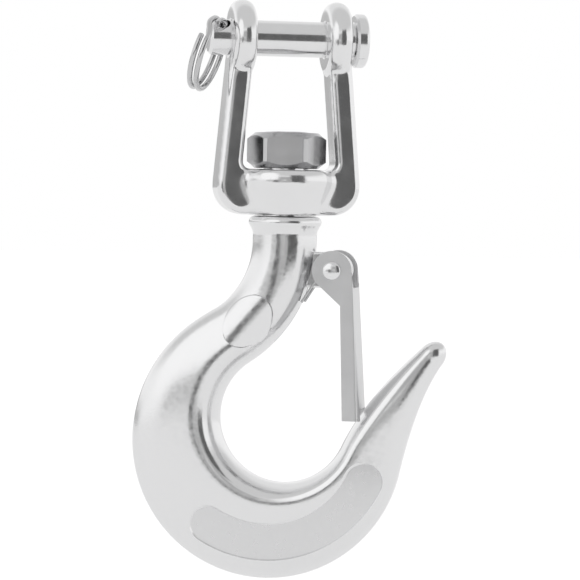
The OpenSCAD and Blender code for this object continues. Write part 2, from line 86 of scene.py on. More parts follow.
to_camera = Vector((
    math.sin(VIEW_AZIMUTH) * math.cos(VIEW_HEIGHT),
    -math.cos(VIEW_AZIMUTH) * math.cos(VIEW_HEIGHT),
    math.sin(VIEW_HEIGHT),
))
level = Vector((math.cos(VIEW_AZIMUTH), math.sin(VIEW_AZIMUTH), 0))
upright = to_camera.cross(level)
picture_right = level * math.cos(VIEW_ROLL) + upright * math.sin(VIEW_ROLL)
picture_up = to_camera.cross(picture_right)

camera = bpy.data.objects.new("studio_camera", bpy.data.cameras.new("studio_camera"))
camera.data.sensor_width = SENSOR
camera.data.lens = SENSOR * VIEW_DISTANCE / VIEW_SPAN
camera.matrix_world = Matrix.Translation(VIEW_AIM + VIEW_DISTANCE * to_camera) @ Matrix(
    (picture_right, picture_up, to_camera)
).transposed().to_4x4()
scene.collection.objects.link(camera)
scene.camera = camera
print(f"camera lens {camera.data.lens:.0f} mm")

# %% [markdown]
# ## Helpers for shapes
# Everything is drawn in millimetres, as on a workshop drawing, and scaled to metres when a piece is finished. A round
# piece is a profile that is spun, a bar is an outline that is extruded, and a bent piece is a loop of edges that is
# extruded from station to station.

# %% Points on an arc and smooth steps
def heading(angle):
    """A unit vector in a plane, at an angle in degrees."""
    return Vector((math.cos(math.radians(angle)), math.sin(math.radians(angle))))


def arc(centre, radius, start, end, steps):
    """Points on an arc in a plane, from one angle to another."""
    return [Vector(centre) + radius * heading(start + (end - start) * i / steps) for i in range(steps + 1)]


def mix(a, b, t):
    return a + (b - a) * t


def ease(t):
    """A smooth step from 0 to 1."""
    t = min(1, max(0, t))
    return t * t * (3 - 2 * t)


# %% Turned shapes
TURN_STEPS = 96
SEAM_GAP = 1e-4


def turned(profile, steps=TURN_STEPS):
    """A solid turned on a lathe: (radius, height) points, spun about Z."""
    bm = bmesh.new()
    points = [bm.verts.new((r, 0, h)) for r, h in profile]
    edges = [bm.edges.new(pair) for pair in zip(points, points[1:])]
    bmesh.ops.spin(bm, geom=points + edges, axis=(0, 0, 1), cent=(0, 0, 0), angle=math.tau, steps=steps,
                   use_merge=True)
    bmesh.ops.remove_doubles(bm, verts=bm.verts, dist=SEAM_GAP)
    bmesh.ops.recalc_face_normals(bm, faces=bm.faces)
    return bm


def rod(radius, start, end, steps=TURN_STEPS):
    """A plain round bar along Z, or the hole that a drill makes."""
    return turned([(0, start), (radius, start), (radius, end), (0, end)], steps)


# %% Plates
LEVEL_EDGE = 1e-6


def new_verts(grown):
    """The vertices that an extrusion made."""
    return [part for part in grown["geom"] if isinstance(part, bmesh.types.BMVert)]


def thicken(bm, thickness):
    """Extrudes a flat face along Y."""
    grown = bmesh.ops.extrude_face_region(bm, geom=bm.faces[:], use_keep_orig=True)
    bmesh.ops.translate(bm, verts=new_verts(grown), vec=(0, thickness, 0))
    bmesh.ops.recalc_face_normals(bm, faces=bm.faces)
    return bm


def plate(outline, thickness):
    """An outline in the XZ plane, extruded both ways along Y."""
    bm = bmesh.new()
    bm.faces.new([bm.verts.new((x, -thickness / 2, z)) for x, z in outline])
    return thicken(bm, thickness)


def round_rims(bm, radius, steps):
    """Rounds the edges of a plate's two faces."""
    rims = [e for e in bm.edges if abs(e.verts[0].co.y - e.verts[1].co.y) < LEVEL_EDGE]
    bmesh.ops.bevel(bm, geom=rims, offset=radius, segments=steps, profile=0.5, affect="EDGES", material=-1)
    return bm


# %% Lofted shapes
def lofted(stations):
    """A loop of edges, extruded from each station to the next and closed at both ends."""
    bm = bmesh.new()
    count = len(stations[0])
    bmesh.ops.create_circle(bm, segments=count, radius=1)
    bm.verts.ensure_lookup_table()
    loop = list(bm.verts)
    for station in stations:
        if station is not stations[0]:
            edges = [bm.edges.get((loop[i], loop[(i + 1) % count])) for i in range(count)]
            made = set(new_verts(bmesh.ops.extrude_edge_only(bm, edges=edges)))
            loop = [next(e.other_vert(v) for e in v.link_edges if e.other_vert(v) in made) for v in loop]
        for vert, place in zip(loop, station):
            vert.co = place
    bmesh.ops.holes_fill(bm, edges=[e for e in bm.edges if e.is_boundary])
    bmesh.ops.recalc_face_normals(bm, faces=bm.faces)
    return bm


# %% Turning and moving a shape, and laying it into a workpiece
def turn(bm, angle, axis):
    bmesh.ops.rotate(bm, verts=bm.verts, cent=(0, 0, 0), matrix=Matrix.Rotation(math.radians(angle), 3, axis))
    return bm


def shift(bm, x=0, y=0, z=0):
    bmesh.ops.translate(bm, verts=bm.verts, vec=(x, y, z))
    return bm


def blank(name, *shapes):
    """A workpiece in millimetres, with these shapes laid into one mesh."""
    mesh = bpy.data.meshes.new(name)
    whole = bmesh.new()
    for bm in shapes:
        bm.to_mesh(mesh)
        bm.free()
        whole.from_mesh(mesh)
    whole.to_mesh(mesh)
    whole.free()
    piece = bpy.data.objects.new(name, mesh)
    scene.collection.objects.link(piece)
    return piece


# %% Joining, cutting and breaking edges
def settle(piece):
    """Works the modifiers into the mesh."""
    bpy.context.view_layer.update()
    worked = bpy.data.meshes.new_from_object(piece.evaluated_get(bpy.context.evaluated_depsgraph_get()))
    old = piece.data
    piece.modifiers.clear()
    piece.data = worked
    bpy.data.meshes.remove(old)


def work(piece, tool_shape, operation):
    """Joins a shape to the workpiece (UNION), cuts it away (DIFFERENCE) or keeps what both share (INTERSECT)."""
    tool = blank("tool", tool_shape)
    step = piece.modifiers.new("work", "BOOLEAN")
    step.operation = operation
    step.solver = "EXACT"
    step.object = tool
    settle(piece)
    bpy.data.objects.remove(tool)


def soften(piece, width, angle):
    """Breaks every edge that is sharper than an angle, as a file would."""
    edge = piece.modifiers.new("soften", "BEVEL")
    edge.width, edge.segments, edge.limit_method, edge.angle_limit = width, 2, "ANGLE", math.radians(angle)
    settle(piece)


# %% Hand a finished piece to the frame
MM = 0.001
SLIVER = 2e-4
CREASE = 32


def hand_over(piece, body, node, slot, *finishes, crease=CREASE):
    """Scales a workpiece to metres, shades it and lets it ride on its body, if it has just one."""
    bm = bmesh.new()
    bm.from_mesh(piece.data)
    bmesh.ops.remove_doubles(bm, verts=bm.verts, dist=SLIVER)
    bmesh.ops.scale(bm, vec=(MM, MM, MM), verts=bm.verts)
    for face in bm.faces:
        face.smooth = True
    for edge in bm.edges:
        edge.smooth = edge.calc_face_angle(0) < math.radians(crease)
    bm.to_mesh(piece.data)
    triangles = sum(len(f.verts) - 2 for f in bm.faces)
    open_edges = sum(not e.is_manifold for e in bm.edges)
    bm.free()
    for finish in finishes:
        piece.data.materials.append(finish)
    flats = piece.modifiers.new("flats", "WEIGHTED_NORMAL")
    flats.keep_sharp = True
    if body:
        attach(piece, body)
    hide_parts(node)
    print(f"{piece.name}: {triangles} triangles, {open_edges} open edges")


# %% [markdown]
# ## Finishes
# Every piece is stainless steel, and most of what differs is how its surface was made. The forgings were tumbled and
# buffed: bright, with a faint ripple and fine cloudy grain, but the sunk panel kept its forged skin. The pin and
# rivet were turned, the nut was milled a little rougher, the latch is rolled sheet, and the wire was drawn. The nut
# and the wire also get a darker colour, which is painted shade: it stands in for the dark reflections that they
# catch. So one recipe, with a cloud, a ripple and a grain, gets a set of numbers for each.

# %% The steel recipe
CLOUD_DETAIL, CLOUD_RANGE, CLOUD_TINT = 6, (0.3, 0.7), 0.94
GRAIN_DETAIL = 3
MICROMETRE = 1e-6


def tree(owner):
    """Turns on the nodes of a material or a world, and gives its nodes and links."""
    owner.use_nodes = True
    return owner.node_tree.nodes, owner.node_tree.links


def steel(name, colour, rough, cloud_mm, ripple_mm, ripple_um, grain_mm, grain_um, stretch=(1, 1, 1)):
    """A metal with cloudy gloss, a ripple and a grain; sizes in mm, heights in micrometres."""
    material = bpy.data.materials.new(name)
    nodes, links = tree(material)
    shader = nodes["Principled BSDF"]
    shader.inputs["Metallic"].default_value = 1

    def noise(size_mm, detail, vector):
        node = nodes.new("ShaderNodeTexNoise")
        node.inputs["Scale"].default_value = 1 / (size_mm * MM)
        node.inputs["Detail"].default_value = detail
        links.new(vector, node.inputs["Vector"])
        return node.outputs["Fac"]

    place = nodes.new("ShaderNodeTexCoord").outputs["Object"]
    lay = nodes.new("ShaderNodeMapping")
    lay.inputs["Scale"].default_value = stretch
    links.new(place, lay.inputs["Vector"])

    cloud = noise(cloud_mm, CLOUD_DETAIL, place)
    gloss = nodes.new("ShaderNodeMapRange")
    gloss.inputs["From Min"].default_value, gloss.inputs["From Max"].default_value = CLOUD_RANGE
    gloss.inputs["To Min"].default_value, gloss.inputs["To Max"].default_value = rough
    links.new(cloud, gloss.inputs["Value"])
    links.new(gloss.outputs["Result"], shader.inputs["Roughness"])

    tint = nodes.new("ShaderNodeMix")
    tint.data_type = "RGBA"
    tint.inputs["A"].default_value = (*(CLOUD_TINT * c for c in colour), 1)
    tint.inputs["B"].default_value = (*colour, 1)
    links.new(cloud, tint.inputs["Factor"])
    links.new(tint.outputs["Result"], shader.inputs["Base Color"])

    normal = None
    for size, height, vector in ((ripple_mm, ripple_um, place), (grain_mm, grain_um, lay.outputs["Vector"])):
        bump = nodes.new("ShaderNodeBump")
        bump.inputs["Strength"].default_value = 1
        bump.inputs["Distance"].default_value = height * MICROMETRE
        links.new(noise(size, GRAIN_DETAIL, vector), bump.inputs["Height"])
        if normal:
            links.new(normal, bump.inputs["Normal"])
        normal = bump.outputs["Normal"]
    links.new(normal, shader.inputs["Normal"])
    return material


# %% The finishes of this hook
BRIGHT, FORGED = (0.86, 0.86, 0.865), (0.78, 0.78, 0.785)
# The nut's colour is darker than the steel's own: painted shade for the dark reflections between the jaw's arms.
# The wire's colour is darker than the steel's own: painted shade for the dark reflections along the thin wire.
ROLLED, WIRE_PAINTED_SHADE, NUT_PAINTED_SHADE = (0.76, 0.76, 0.765), (0.62, 0.62, 0.625), (0.58, 0.58, 0.585)

buffed_forging = steel("buffed_forging", BRIGHT, (0.10, 0.20), 5, 4, 30, 0.5, 5)
tumbled_forging = steel("tumbled_forging", BRIGHT, (0.12, 0.22), 1.6, 2.2, 22, 0.4, 6)
as_forged = steel("as_forged", FORGED, (0.26, 0.36), 2, 1.4, 16, 0.35, 6)
turned_bar = steel("turned_bar", BRIGHT, (0.12, 0.2), 3, 5, 8, 0.3, 2, stretch=(4, 1, 1))
# Painted shade: the nut's darker colour stands in for the dark reflections it catches between the jaw's arms.
milled_nut_painted_shade = steel("milled_nut_painted_shade", NUT_PAINTED_SHADE, (0.16, 0.26), 3, 4, 8, 0.25, 3, stretch=(1, 1, 5))
rolled_sheet = steel("rolled_sheet", ROLLED, (0.34, 0.42), 6, 8, 10, 0.3, 3, stretch=(1, 1, 0.15))
# Painted shade: the wire's darker colour stands in for the dark reflections of its surroundings on the thin wire.
drawn_wire_painted_shade = steel("drawn_wire_painted_shade", WIRE_PAINTED_SHADE, (0.07, 0.13), 2, 3, 4, 0.25, 2)
finishes = (buffed_forging, tumbled_forging, as_forged, turned_bar, milled_nut_painted_shade, rolled_sheet, drawn_wire_painted_shade)
print("finishes:", ", ".join(finish.name for finish in finishes))

# %% [markdown]
# ## The jaw
# The jaw is one forging: a U-shaped bar, a round ear on each arm for the load pin, and a round boss in the base for
# the hook's shank. It could be cut from a subdivision cage, but the ears and boss run into the bar with soft fillets.
# So each shape is made plainly, the four are melted into one skin with a voxel remesh, and the skin is smoothed as
# buffing would smooth it. The holes are bored last, so their edges stay crisp.

# %% The U-shaped bar
JAW_GAP, EAR_T, EAR_R, EAR_CROWN = 22.5, 7.2, 11.8, 2.85
EAR_X = (JAW_GAP + EAR_T) / 2
ARM_DEPTH, ARM_ROUND, ARM_ROUND_STEPS, ARM_LEAN = 13, 2.0, 5, 4.927
FLOOR_Z, BASE_Z = -40.3, -54.4
BASE_CORNER, FLOOR_FILLET = 9.0, 2.6
ROUND_STEPS = 8
SAME_PLACE = 1e-3

lean = math.tan(math.radians(ARM_LEAN))
half_arm = EAR_T / 2 / math.cos(math.radians(ARM_LEAN))
inner, outer = EAR_X - half_arm, EAR_X + half_arm
corners = [(outer, 0), (outer - BASE_Z * lean, BASE_Z), (-outer + BASE_Z * lean, BASE_Z), (-outer, 0),
           (-inner, 0), (-inner + FLOOR_Z * lean, FLOOR_Z), (inner - FLOOR_Z * lean, FLOOR_Z), (inner, 0)]

bar = bmesh.new()
bar.faces.new([bar.verts.new((x, -ARM_DEPTH / 2, z)) for x, z in corners])
for pair, radius, opening in ((corners[1:3], BASE_CORNER, 90 - ARM_LEAN),
                              (corners[5:7], FLOOR_FILLET, 90 + ARM_LEAN)):
    square = [v for v in bar.verts if any((v.co.xz - Vector(corner)).length < SAME_PLACE for corner in pair)]
    along = radius / math.tan(math.radians(opening / 2))
    bmesh.ops.bevel(bar, geom=square, offset=along, segments=ROUND_STEPS, profile=0.5, affect="VERTICES",
                    material=-1)
round_rims(thicken(bar, ARM_DEPTH), ARM_ROUND, ARM_ROUND_STEPS)
print(f"U-shaped bar: {len(bar.faces)} faces")

# %% The ears and the boss, melted on
BOSS_R, BOSS_TOP_R, BOSS_TOP, BOSS_SHOULDER = 11.4, 15.0, -40.5, -43.7
BOSS_ROUND, BOSS_LIP, LIP_STEPS = 5.8, 1.2, 4
FOOT_IN, FOOT_UP = 0.6, 0.4
SKIN, BUFF, BUFF_ROUNDS = 0.34, 0.5, 12

ear_edge = [(EAR_R - EAR_CROWN * (1 - ray.x), EAR_T / 2 * ray.y)
            for ray in arc((0, 0), 1, -90, 90, 2 * ROUND_STEPS)]
ear_profile = [(0, -EAR_T / 2), *ear_edge, (0, EAR_T / 2)]
ears = [shift(turn(turned(ear_profile), 90, "Y"), x=side * EAR_X) for side in (-1, 1)]

draft = math.degrees(math.atan((BOSS_TOP_R - BOSS_R) / (BOSS_SHOULDER - BASE_Z)))
shoulder = Vector((BOSS_TOP_R - BOSS_ROUND, BOSS_SHOULDER))
lip_up = math.asin((BOSS_TOP - BOSS_LIP - BOSS_SHOULDER) / (BOSS_ROUND - BOSS_LIP))
lip = shoulder + (BOSS_ROUND - BOSS_LIP) * Vector((math.cos(lip_up), math.sin(lip_up)))
boss_profile = [(0, BASE_Z), (BOSS_R - FOOT_IN, BASE_Z), (BOSS_R, BASE_Z + FOOT_UP),
                *arc(shoulder, BOSS_ROUND, -draft, math.degrees(lip_up), ROUND_STEPS),
                *arc(lip, BOSS_LIP, math.degrees(lip_up), 90, LIP_STEPS)[1:], (0, BOSS_TOP)]

jaw = blank("forged_jaw", bar, *ears, turned(boss_profile))
melt = jaw.modifiers.new("melt", "REMESH")
melt.mode, melt.voxel_size = "VOXEL", SKIN
buff = jaw.modifiers.new("buff", "SMOOTH")
buff.factor, buff.iterations = BUFF, BUFF_ROUNDS
settle(jaw)
print(f"melted jaw: {len(jaw.data.polygons)} faces")

# %% Blend the ears and the boss into the bar
EAR_FOOT = -math.sqrt(EAR_R ** 2 - (ARM_DEPTH / 2) ** 2)
EAR_BLEND, BOSS_BLEND = (0.5, 3.0, 40), (1.5, 4.5, 160)


def below_ear(place):
    """Distance from the line where an ear leaves the arm's face."""
    return math.hypot(abs(place.y) - ARM_DEPTH / 2, place.z - EAR_FOOT)


def beside_boss(place):
    """Distance from the line where the boss leaves the base's face."""
    boss_r = mix(BOSS_R, BOSS_TOP_R, min(1, (place.z - BASE_Z) / (BOSS_SHOULDER - BASE_Z)))
    foot = math.sqrt(max(0, boss_r ** 2 - (ARM_DEPTH / 2) ** 2))
    return math.hypot(abs(place.y) - ARM_DEPTH / 2, abs(place.x) - foot) if place.z < BOSS_TOP else math.inf


for distance, (core, fade, rounds) in ((below_ear, EAR_BLEND), (beside_boss, BOSS_BLEND)):
    roots = jaw.vertex_groups.new(name=distance.__name__)
    for vert in jaw.data.vertices:
        share = ease(1 - (distance(vert.co) - core) / fade)
        if share > 0:
            roots.add([vert.index], share, "REPLACE")
    blend = jaw.modifiers.new(roots.name, "SMOOTH")
    blend.factor, blend.iterations, blend.vertex_group = BUFF, rounds, roots.name
settle(jaw)
jaw.vertex_groups.clear()

# %% Bore the jaw
PIN_BORE, SHANK_BORE, BORE_CHAMFER, BORE_SPARE = 5.58, 7.08, 0.4, 1
DRILL_PAST = 5

flare = PIN_BORE + 2 * BORE_CHAMFER
bore_side = [(PIN_BORE, EAR_T / 2 - BORE_CHAMFER), (flare, EAR_T / 2 + BORE_CHAMFER), (flare + BORE_SPARE, EAR_T),
             (0, EAR_T)]
bore_profile = [(r, -h) for r, h in reversed(bore_side)] + bore_side
for side in (-1, 1):
    work(jaw, shift(turn(turned(bore_profile), 90, "Y"), x=side * EAR_X), "DIFFERENCE")
work(jaw, rod(SHANK_BORE, BASE_Z - DRILL_PAST, FLOOR_Z + DRILL_PAST), "DIFFERENCE")
hand_over(jaw, "jaw", "jaw", "polished_stainless", buffed_forging)

# %% [markdown]
# ## The load pin
# The pin is turned from bar, with a flat head and a chamfered tail, and drilled across for its ring. A spun profile
# is exactly how a lathe makes it, and the cross hole is cut with a leaning drill.

# %% Turn and drill the pin
PIN_R, TAIL_X, HEAD_X, HEAD_T, HEAD_R = 5.5, -25.257, 20.35, 3.8, 8.35
TAIL_CHAMFER, HEAD_ROUND, HEAD_UNDERCUT, HEAD_FILLET = 0.9, 1.3, 0.65, 0.25
HOLE_X, HOLE_R, HOLE_LEAN = -21.303, 2.353, 38
FINE_STEPS, DRILL_STEPS = 128, 48

head_top = HEAD_X + HEAD_T
pin_profile = [
    (0, TAIL_X), (PIN_R - TAIL_CHAMFER, TAIL_X), (PIN_R, TAIL_X + TAIL_CHAMFER), (PIN_R, HEAD_X - HEAD_FILLET),
    (PIN_R + HEAD_FILLET, HEAD_X), (HEAD_R - HEAD_UNDERCUT, HEAD_X), (HEAD_R, HEAD_X + HEAD_UNDERCUT),
    *arc((HEAD_R - HEAD_ROUND, head_top - HEAD_ROUND), HEAD_ROUND, 0, 90, ROUND_STEPS), (0, head_top)]
pin = blank("load_pin", turn(turned(pin_profile, FINE_STEPS), 90, "Y"))
drill = rod(HOLE_R, -2 * PIN_R, 2 * PIN_R, DRILL_STEPS)
work(pin, shift(turn(drill, HOLE_LEAN, "X"), x=HOLE_X), "DIFFERENCE")
hand_over(pin, "clevis_pin", "clevis_pin", "polished_stainless", turned_bar)

# %% [markdown]
# ## The keeper ring
# A split ring is wire wound twice round, with a step where one turn crosses to the next. The wire is a small round
# loop of edges that is extruded along that path, so that both cut ends and the step are real.

# %% Lay wire along a path
WIRE_SIDES, WIRE_TIP, WIRE_TIP_RUN = 16, 0.22, 0.11


def wire(path, diameter, side):
    """Round wire along a path, with chamfered ends; side gives the first direction across it."""
    stations, across = [], Vector(side)
    angles = [math.tau * k / WIRE_SIDES for k in range(WIRE_SIDES)]
    for i, point in enumerate(path):
        run = (path[min(i + 1, len(path) - 1)] - path[max(i - 1, 0)]).normalized()
        across = (across - across.dot(run) * run).normalized()
        over = run.cross(across)
        stations.append([point + diameter / 2 * (math.cos(a) * across + math.sin(a) * over) for a in angles])
    tips = []
    for end, inward in ((0, 1), (-1, -2)):
        tips.append([mix(p, path[end], WIRE_TIP) for p in stations[end]])
        lead = (path[inward] - path[end]).normalized()
        stations[end] = [p + WIRE_TIP_RUN * diameter * lead for p in stations[end]]
    return lofted([tips[0], *stations, tips[1]])


# %% Wind the ring
RING_R, RING_WIRE, RING_PITCH, RING_OFFSET = 11, 1.67, 2.15, 10.263
RING_SWING, RING_JOINT, RING_STEP = 30, 100, 34
RING_STATIONS = 200

up_hole = Vector((0, -math.sin(math.radians(HOLE_LEAN)), math.cos(math.radians(HOLE_LEAN))))
level_out = Vector((0, -math.cos(math.radians(HOLE_LEAN)), -math.sin(math.radians(HOLE_LEAN))))
ring_out = level_out * math.cos(math.radians(RING_SWING)) - Vector((math.sin(math.radians(RING_SWING)), 0, 0))
ring_axis = up_hole.cross(ring_out)
ring_path = []
for i in range(RING_STATIONS):
    wound = mix(RING_STEP / 2, 720 - RING_STEP / 2, i / (RING_STATIONS - 1))
    ray = heading(wound + RING_JOINT)
    lift = RING_PITCH * (ease((wound - 360) / RING_STEP + 0.5) - 0.5)
    ring_path.append(Vector((HOLE_X, 0, 0)) + RING_OFFSET * ring_out
                     + RING_R * (ray.y * up_hole - ray.x * ring_out) + lift * ring_axis)
ring = blank("keeper_ring", wire(ring_path, RING_WIRE, (1, 0, 0)))
hand_over(ring, "split_ring", "split_ring", "spring_wire", drawn_wire_painted_shade)

# %% [markdown]
# ## The lock nut
# A standard hexagon nut sits on the shank inside the jaw. Its corners are chamfered by a turned cut, which leaves the
# curved edges at the top and bottom of each flat. So a hexagonal prism keeps only what it shares with a turned disc.
# In the photo the hook is turned a little on its swivel, with all that it carries. From here on each piece is drawn
# square and turned when it is finished.

# %% Turn a piece with the hook
HOOK_TURN = -20
SWIVEL = Matrix.Rotation(math.radians(HOOK_TURN), 4, "Z")


def swivelled(piece):
    piece.data.transform(SWIVEL)
    return piece


# %% Mill and chamfer the nut
NUT_FLATS, NUT_CORNERS, NUT_BOTTOM, NUT_TOP = 22, 24.5, -40.0, -29.0
NUT_CHAMFER, NUT_LAND, NUT_BORE, NUT_TURN = 2.0, 1.15, 7.02, 7
NUT_STEPS, NUT_EDGE, NUT_EDGE_ANGLE = 192, 0.22, 15

hexagon_r = NUT_FLATS / 2 / math.cos(math.pi / 6)
prism = bmesh.new()
bmesh.ops.create_cone(prism, cap_ends=True, segments=6, radius1=hexagon_r, radius2=hexagon_r,
                      depth=NUT_TOP - NUT_BOTTOM)
first = min(prism.verts, key=lambda v: abs(math.atan2(v.co.y, v.co.x)))
turn(prism, -math.degrees(math.atan2(first.co.y, first.co.x)), "Z")
shift(prism, z=(NUT_TOP + NUT_BOTTOM) / 2)
nut = blank("lock_nut", turn(prism, NUT_TURN, "Z"))
face_r, rim_r = NUT_FLATS / 2 - NUT_LAND, NUT_CORNERS / 2
disc_profile = [(0, NUT_BOTTOM), (face_r, NUT_BOTTOM), (rim_r, NUT_BOTTOM + NUT_CHAMFER),
                (rim_r, NUT_TOP - NUT_CHAMFER), (face_r, NUT_TOP), (0, NUT_TOP)]
work(nut, turned(disc_profile, NUT_STEPS), "INTERSECT")
work(nut, rod(NUT_BORE, NUT_BOTTOM - DRILL_PAST, NUT_TOP + DRILL_PAST), "DIFFERENCE")
soften(nut, NUT_EDGE, NUT_EDGE_ANGLE)
hand_over(swivelled(nut), "hook", "swivel_nut", "satin_stainless", milled_nut_painted_shade)

# %% [markdown]
# ## The hook
# The hook is a forging whose section changes all the way: round at the neck, then a wide rounded bearing edge inside
# the bowl with flanks that thin towards the belly, then a tapering tip. A spun or plainly extruded shape can't do
# that. So one loop of edges is extruded through a few hundred stations, and at each it takes the section for that
# place.

# %% The hook's two outlines
NECK_R, COLLAR_TOP, COLLAR_BOTTOM, NECK_Z = 9.9, -54.7, -58.5, -62.75
BEND, BEND_R, BEND_ANGLE, THROAT_R = Vector((-35.367, -62.75)), 35.367, 56.407, 25.467
BOWL, BOWL_R, BOWL_END = Vector((0.8, -117.2)), 20.1, 24.5
BELLY, BELLY_R = Vector((-4.3, -124.9)), 42.33
BACK, BACK_R = Vector((-1.286, -124.9)), 45.36
TIP_IN, TIP_OUT, TIP_DIR, TIP_END = Vector((43.1, -94.7)), Vector((49.382, -99.971)), 50, 5.67
HORN_IN = (Vector((19.090, -125.535)), Vector((25.784, -110.848)), TIP_IN)
HORN_OUT = (Vector((37.10, -133.74)), Vector((41.942, -111.426)), TIP_OUT)


def far_side(ray, centre, radius):
    """How far a ray from the bowl's centre runs to the far side of a circle."""
    out = BOWL - centre
    along = out.dot(ray)
    return math.sqrt(along * along - out.dot(out) + radius * radius) - along


def bowl_edges(t):
    """The inner and outer edge of the bowl, from the bend (0) to the tip's root (1)."""
    ray = heading(mix(180 - BEND_ANGLE, 360 - BOWL_END, t))
    behind = far_side(ray, BACK, BACK_R)
    if not (ray.x < 0 and BOWL.y + behind * ray.y > BELLY.y):
        behind = far_side(ray, BELLY, BELLY_R)
    return BOWL + BOWL_R * ray, BOWL + behind * ray


def curve(points, t):
    a, b, c = points
    return a * (1 - t) ** 2 + b * 2 * t * (1 - t) + c * t ** 2


# %% How thick the hook is along its length
BOWL_HALF, BOWL_RUN, HORN_RUN, THIN_RUN = 10, 110, 40, 42
THIN_AT_ROOT, THIN_AT_TIP = 0.05, 0.2


def by_stage(stage, neck, bowl, tip_root, tip):
    """A value that runs from the neck (0) to the bowl (1), the tip's root (2) and the tip (3)."""
    if stage < 1:
        return mix(neck, bowl, ease(stage))
    if stage < 2:
        return mix(bowl, tip_root, ease(stage - 1))
    return mix(tip_root, tip, ease(stage - 2))


def half_thickness(stage):
    """Full in the bowl, and thinning more and more towards the tip; the runs are lengths along the hook."""
    if stage < 2:
        into = max(0, THIN_RUN + (stage - 2) * BOWL_RUN)
        return by_stage(stage, NECK_R, BOWL_HALF, BOWL_HALF, 0) - THIN_AT_ROOT * into * into / (2 * THIN_RUN)
    run = (stage - 2) * HORN_RUN
    root = BOWL_HALF - THIN_AT_ROOT * THIN_RUN / 2
    return root - THIN_AT_ROOT * run - (THIN_AT_TIP - THIN_AT_ROOT) * run * run / (2 * HORN_RUN)


# %% The hook's section
BEARING_ROUND, TIP_ROOT_ROUND, TIP_EDGE, BELLY_TAPER = 6.3, 4.788, 0.38, 0.33
RIDGE_CUT, RIDGE_REACH = 22, 3.1
RIDGE_SHARP, RIDGE_SOFT, BELLY_SQUARE = (0, 1, 1, 0.4), (0, 2.2, 1.7, 0.3), (2, 4, 4, 2)
EDGE_STEPS, RIDGE_STEPS, FLANK_STEPS = 9, 12, 22


def flank(depth, stage):
    """Half a section, from the inner edge over the ridge to the outer edge: (depth, half thickness) points."""
    half = half_thickness(stage)
    edge = by_stage(stage, depth / 2, BEARING_ROUND, TIP_ROOT_ROUND, TIP_EDGE * depth)
    taper = by_stage(stage, 0, BELLY_TAPER, BELLY_TAPER, 0)
    square = by_stage(stage, *BELLY_SQUARE)
    soft = by_stage(stage, *RIDGE_SOFT)
    cut = heading(90 - RIDGE_CUT * by_stage(stage, *RIDGE_SHARP))
    reach = min(RIDGE_REACH, edge / 2)

    def inside(d):
        x = max(0, 1 - d * (1 - cut.x) / edge)
        return half * math.sqrt(1 - x * x) / cut.y

    def outside(d):
        out = (d - edge) / (depth - edge)
        return half * (1 - taper * out) * max(0, 1 - max(0, out) ** square) ** (1 / square)

    def height(d):
        a, b = inside(d), outside(d)
        near = max(0, soft - abs(a - b)) / soft if soft else 0
        return min(a, b) - near * near * soft / 4

    last = math.degrees(math.acos(1 - (edge - reach) / edge))
    places = [edge * (1 - heading(last * i / EDGE_STEPS).x) for i in range(EDGE_STEPS)]
    places += [edge + reach * (2 * i / RIDGE_STEPS - 1) for i in range(RIDGE_STEPS)]
    places += [mix(edge + reach, depth, math.sin(math.pi / 2 * i / FLANK_STEPS)) for i in range(FLANK_STEPS + 1)]
    return [(d, height(d)) for d in places]


def section(inner, outer, stage):
    depth = (outer - inner).length
    across = (outer - inner) / depth
    side = flank(depth, stage)
    ring = [(inner + across * d, -y) for d, y in side] + [(inner + across * d, y) for d, y in side[-2:0:-1]]
    return [Vector((p.x, y, p.y)) for p, y in ring]


# %% The hook's spine: inner edge, outer edge and stage
NECK_STATIONS, BEND_STATIONS, BOWL_STATIONS, HORN_STATIONS = 6, 60, 180, 60

spine = []
for i in range(NECK_STATIONS):
    z = mix((COLLAR_TOP + COLLAR_BOTTOM) / 2, NECK_Z, i / NECK_STATIONS)
    spine.append((Vector((NECK_R, z)), Vector((-NECK_R, z)), 0))
for i in range(BEND_STATIONS):
    t = i / BEND_STATIONS
    ray = heading(-BEND_ANGLE * t)
    spine.append((BEND + (BEND_R + NECK_R) * ray, BEND + THROAT_R * ray, t))
for i in range(BOWL_STATIONS):
    spine.append((*bowl_edges(i / BOWL_STATIONS), 1 + i / BOWL_STATIONS))
for i in range(HORN_STATIONS):
    t = i / HORN_STATIONS
    spine.append((curve(HORN_IN, t), curve(HORN_OUT, t), 2 + t))
print(f"hook spine: {len(spine)} stations")

# %% Fair the back of the bend and loft the hook
FAIR_ROUNDS, FAIR_REACH = 30, 26
END_STATIONS, END_SWING = 14, 84

depths = [(outer - inner).length for inner, outer, stage in spine]
bend_end = NECK_STATIONS + BEND_STATIONS
for _ in range(FAIR_ROUNDS):
    depths = [(depths[i - 1] + depths[i + 1]) / 2 if abs(i - bend_end) < FAIR_REACH else depths[i]
              for i in range(len(spine))]
stations = [section(inner, inner + depth * (outer - inner).normalized(), stage)
            for (inner, outer, stage), depth in zip(spine, depths)]
tip_side = (TIP_OUT - TIP_IN).normalized()
for i in range(END_STATIONS):
    swing = heading(END_SWING * i / (END_STATIONS - 1))
    middle = (TIP_IN + TIP_OUT) / 2 + TIP_END * swing.y * heading(TIP_DIR)
    half = (TIP_OUT - TIP_IN).length / 2 * swing.x
    tip_section = section(middle - half * tip_side, middle + half * tip_side, 3)
    stations.append([Vector((p.x, p.y * swing.x, p.z)) for p in tip_section])
body = lofted(stations)
print(f"hook loft: {len(stations)} stations of {len(stations[0])} points")

# %% [markdown]
# ## The oval pad and the curved panel
# Hooks like this have an oval pad raised on the neck and a long curved panel sunk into the belly, both plain here.
# The pad is a block with sloping sides that keeps only what it shares with a barrel along the neck, which rounds its
# top. The groove round it and the panel have floors that follow the forging. So each starts as a block, loses what
# lies in a slightly thinner copy of the hook, and is then cut out of the hook. The panel's walls lean outwards, as in
# a die, and its floor keeps the duller forged skin that no buffing wheel reaches.

